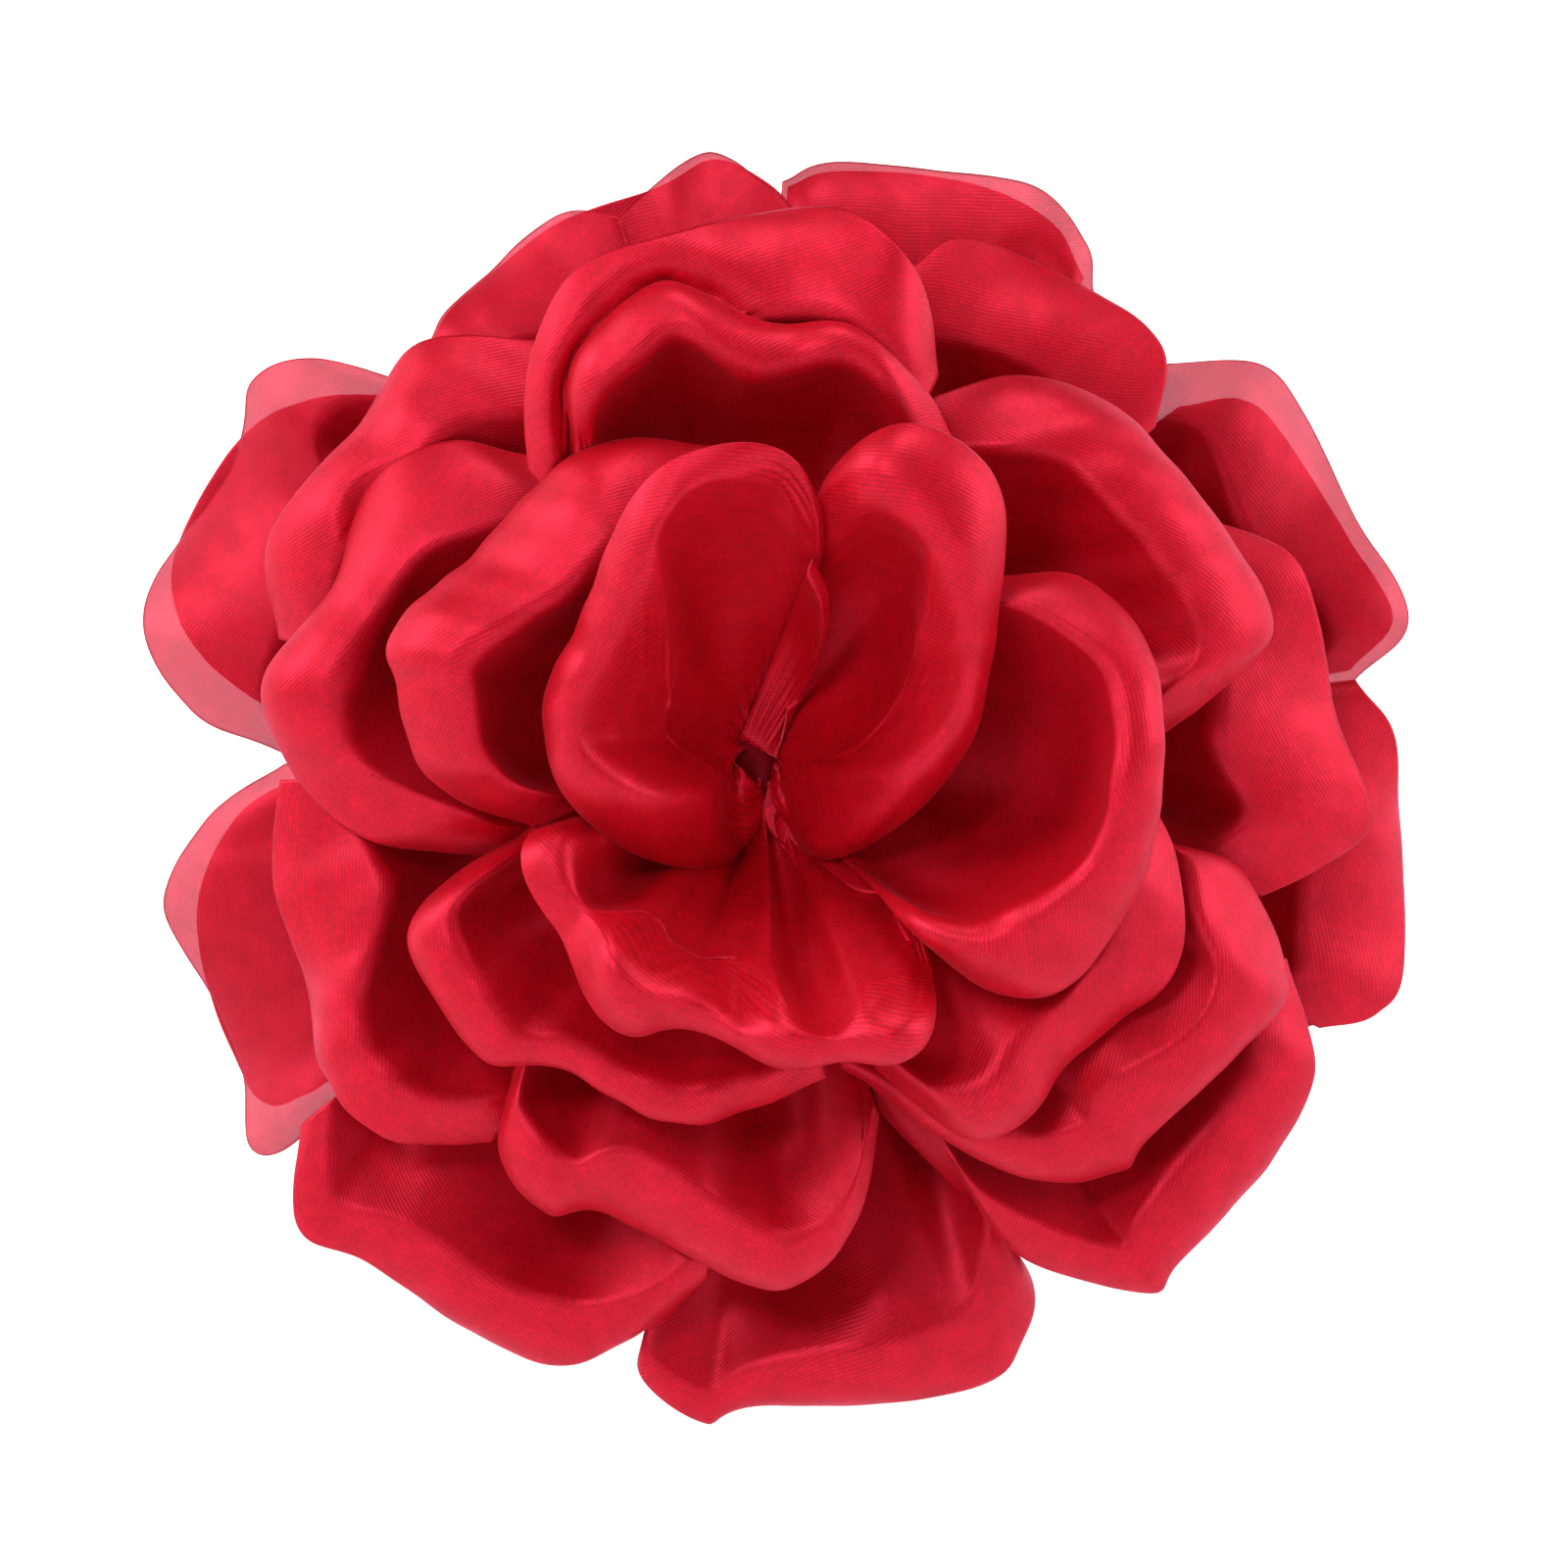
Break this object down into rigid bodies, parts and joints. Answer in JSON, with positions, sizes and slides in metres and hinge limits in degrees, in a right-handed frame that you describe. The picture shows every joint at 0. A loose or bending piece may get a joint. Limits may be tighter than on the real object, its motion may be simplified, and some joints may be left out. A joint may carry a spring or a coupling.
{
  "type": "flower hair clip",
  "caption": "Full, open satin flower with ruffled and rolled petals on a felt-backed sprung steel hair clip.",
  "frame": {"origin": "on the flower's centre line, at the head side of the moving jaw's flat", "axes": "+X to the flower's right as seen from the front, -Y out of the flower's face, +Y towards the head, +Z to the flower's top"},
  "size_m": [0.1195, 0.0577, 0.1212],
  "materials": {
    "satin": "red satin, soft sheen",
    "roots": "gathered and glued satin roots",
    "buckram": "stiff woven disc",
    "felt": "matt felt",
    "jaw_steel": "bright nickel plate",
    "pin_steel": "plain steel",
    "spring_wire": "drawn wire"
  },
  "bodies": {
    "flower": {"inner_petal_1": "satin", "inner_petal_2": "satin", "inner_petal_3": "satin", "inner_petal_4": "satin", "inner_petal_5": "satin", "inner_petal_6": "satin", "middle_petal_1": "satin", "middle_petal_2": "satin", "middle_petal_3": "satin", "middle_petal_4": "satin", "middle_petal_5": "satin", "middle_petal_6": "satin", "middle_petal_7": "satin", "middle_petal_8": "satin", "middle_petal_9": "satin", "middle_petal_10": "satin", "outer_petal_1": "satin", "outer_petal_2": "satin", "outer_petal_3": "satin", "outer_petal_4": "satin", "outer_petal_5": "satin", "outer_petal_6": "satin", "outer_petal_7": "satin", "outer_petal_8": "satin", "outer_petal_9": "satin", "outer_petal_10": "satin", "outer_petal_11": "satin", "outer_petal_12": "satin", "back_petal_1": "satin", "back_petal_2": "satin", "back_petal_3": "satin", "back_petal_4": "satin", "back_petal_5": "satin", "back_petal_6": "satin", "back_petal_7": "satin", "back_petal_8": "satin", "back_petal_9": "satin", "root_bundle": "roots", "base_disc": "buckram", "felt_disc": "felt", "felt_patch": "felt", "fixed_jaw": "jaw_steel", "hinge_pin": "pin_steel", "spring": "spring_wire"},
    "jaw": {"moving_jaw": "jaw_steel"}
  },
  "joints": [
    {"name": "jaw_hinge", "type": "hinge", "parent": "flower", "child": "jaw", "pos_m": [0.016, 0.0005, 0], "axis": [0, 0, -1], "range_deg": [0, 30], "stiffness_Nm_per_rad": 0.3, "springref_deg": -29.79, "deforming": ["spring"]}
  ]
}
